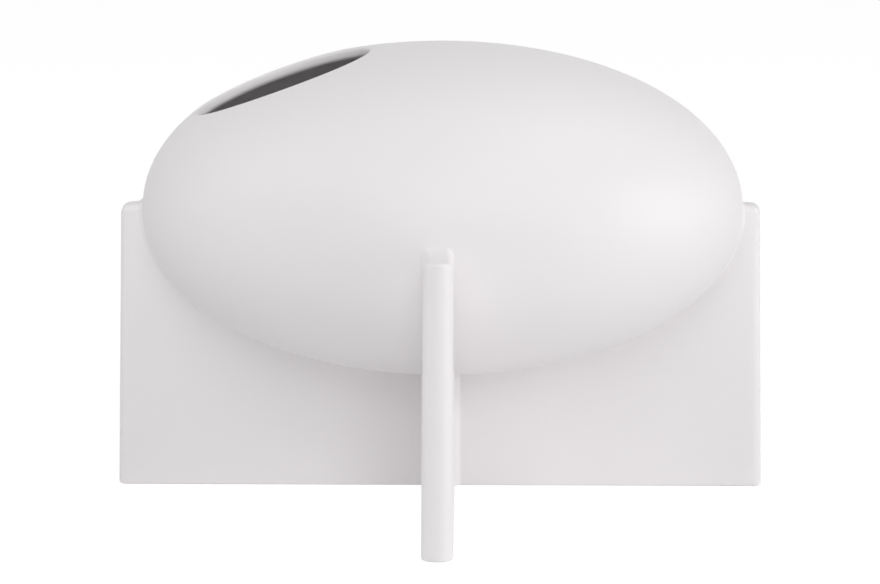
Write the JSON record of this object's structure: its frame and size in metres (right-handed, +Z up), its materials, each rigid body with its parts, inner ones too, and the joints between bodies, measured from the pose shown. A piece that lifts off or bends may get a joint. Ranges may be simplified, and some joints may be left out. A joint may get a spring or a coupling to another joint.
{
  "type": "vase",
  "caption": "Free-standing ceramic vase: a hollow flattened ellipsoid with an oval slanted mouth, set in a cross-shaped base of upright slabs.",
  "frame": {"origin": "on the table, under the middle of the cross", "axes": "+Z up, X along the left to right slab with the mouth towards -X, -Y towards the viewer"},
  "size_m": [0.26, 0.26, 0.179],
  "materials": {
    "glazed_shell": "satin white glaze",
    "glazed_slab": "satin white glaze",
    "glazed_joint": "satin white glaze, slightly pooled"
  },
  "bodies": {
    "root": {"vase_body": "glazed_shell", "long_slab": "glazed_slab", "cross_slab": "glazed_slab", "seam_fillet_left": "glazed_joint", "seam_fillet_right": "glazed_joint", "seam_fillet_front": "glazed_joint", "seam_fillet_rear": "glazed_joint", "corner_coil_front_left": "glazed_joint", "corner_coil_front_right": "glazed_joint", "corner_coil_rear_left": "glazed_joint", "corner_coil_rear_right": "glazed_joint"}
  },
  "joints": []
}
